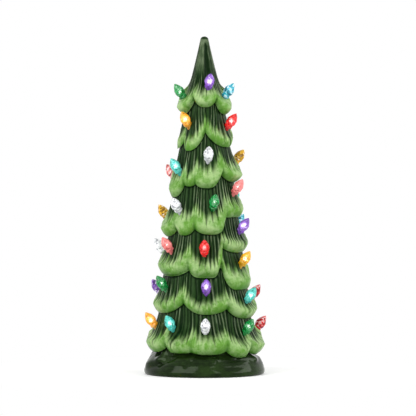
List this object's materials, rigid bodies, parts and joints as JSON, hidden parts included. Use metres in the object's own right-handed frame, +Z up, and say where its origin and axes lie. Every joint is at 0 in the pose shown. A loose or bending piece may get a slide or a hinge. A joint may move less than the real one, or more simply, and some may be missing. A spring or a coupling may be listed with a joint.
{
  "type": "lighted tabletop christmas tree",
  "caption": "Slim glazed tree with drooping lime-edged bough tiers and coloured plastic bulbs, on a low dark base that holds a battery lamp.",
  "frame": {"origin": "centre of the base's underside, on the surface that the tree stands on", "axes": "+Z up along the tree, -Y towards the front that the picture shows, +X to the right"},
  "size_m": [0.0728, 0.0743, 0.2],
  "materials": {
    "green_glaze": "clear gloss glaze over dark green with leaf-green painted edges",
    "dark_glaze": "clear gloss glaze over blackish green",
    "bulb_purple": "glossy transparent purple plastic, lit from inside",
    "bulb_sky": "glossy transparent light blue plastic, lit from inside",
    "bulb_green": "glossy transparent green plastic, lit from inside",
    "bulb_amber": "glossy transparent amber plastic, lit from inside",
    "bulb_red": "glossy transparent red plastic, lit from inside",
    "bulb_clear": "glossy transparent clear plastic, lit from inside",
    "bulb_gold": "glossy transparent gold-yellow plastic, lit from inside",
    "bulb_teal": "glossy transparent aqua plastic, lit from inside",
    "bulb_pink": "glossy transparent pink plastic, lit from inside",
    "white_plastic": "satin off-white moulding",
    "contact_metal": "nickel-plated spring steel",
    "cell_sleeve": "plain printed-foil sleeve, semi-gloss",
    "circuit_board": "green solder mask on glass-fibre board",
    "led_lens": "clear epoxy lens",
    "black_plastic": "satin black moulding",
    "lead_sleeve": "satin PVC sleeve"
  },
  "bodies": {
    "base": {"base": "dark_glaze", "lamp_body": "white_plastic", "positive_terminal": "contact_metal", "negative_terminal": "contact_metal", "battery_cell_1": "cell_sleeve", "battery_cell_2": "cell_sleeve", "circuit_board": "circuit_board", "led_1": "led_lens", "led_2": "led_lens", "led_3": "led_lens", "switch_body": "black_plastic", "switch_lead": "lead_sleeve"},
    "tree": {"tree_shell": "green_glaze", "bulb_crown_1_purple": "bulb_purple", "bulb_crown_2_sky": "bulb_sky", "bulb_crown_3_green": "bulb_green", "bulb_crown_4_amber": "bulb_amber", "bulb_tier_2_1_amber": "bulb_amber", "bulb_tier_2_2_red": "bulb_red", "bulb_tier_2_3_clear": "bulb_clear", "bulb_tier_2_4_purple": "bulb_purple", "bulb_tier_3_1_clear": "bulb_clear", "bulb_tier_3_2_gold": "bulb_gold", "bulb_tier_3_3_teal": "bulb_teal", "bulb_tier_3_4_pink": "bulb_pink", "bulb_tier_3_5_green": "bulb_green", "bulb_tier_3_6_red": "bulb_red", "bulb_tier_4_1_green": "bulb_green", "bulb_tier_4_2_clear": "bulb_clear", "bulb_tier_4_3_pink": "bulb_pink", "bulb_tier_4_4_gold": "bulb_gold", "bulb_tier_4_5_teal": "bulb_teal", "bulb_tier_4_6_sky": "bulb_sky", "bulb_tier_5_1_red": "bulb_red", "bulb_tier_5_2_pink": "bulb_pink", "bulb_tier_5_3_purple": "bulb_purple", "bulb_tier_5_4_sky": "bulb_sky", "bulb_tier_5_5_clear": "bulb_clear", "bulb_tier_5_6_gold": "bulb_gold", "bulb_tier_5_7_amber": "bulb_amber", "bulb_tier_6_1_gold": "bulb_gold", "bulb_tier_6_2_purple": "bulb_purple", "bulb_tier_7_1_purple": "bulb_purple", "bulb_tier_7_2_green": "bulb_green", "bulb_tier_7_3_teal": "bulb_teal", "bulb_tier_7_4_red": "bulb_red", "bulb_tier_7_5_purple": "bulb_purple", "bulb_tier_7_6_pink": "bulb_pink", "bulb_tier_7_7_teal": "bulb_teal", "bulb_tier_8_1_clear": "bulb_clear", "bulb_tier_8_2_teal": "bulb_teal", "bulb_tier_8_3_amber": "bulb_amber", "bulb_tier_8_4_green": "bulb_green", "bulb_tier_8_5_red": "bulb_red", "bulb_tier_8_6_sky": "bulb_sky", "bulb_tier_8_7_gold": "bulb_gold"},
    "battery_door": {"battery_door": "white_plastic", "door_contact": "contact_metal"},
    "switch_knob": {"switch_knob": "black_plastic"}
  },
  "joints": [
    {"name": "tree_lift", "type": "slide", "parent": "base", "child": "tree", "axis": [0, 0, 1], "range_m": [0, 0.08]},
    {"name": "door_lift_off", "type": "slide", "parent": "base", "child": "battery_door", "axis": [0, 0, -1], "range_m": [0, 0.03]},
    {"name": "switch_slide", "type": "slide", "parent": "base", "child": "switch_knob", "axis": [1, 0, 0], "range_m": [0, 0.003]}
  ]
}
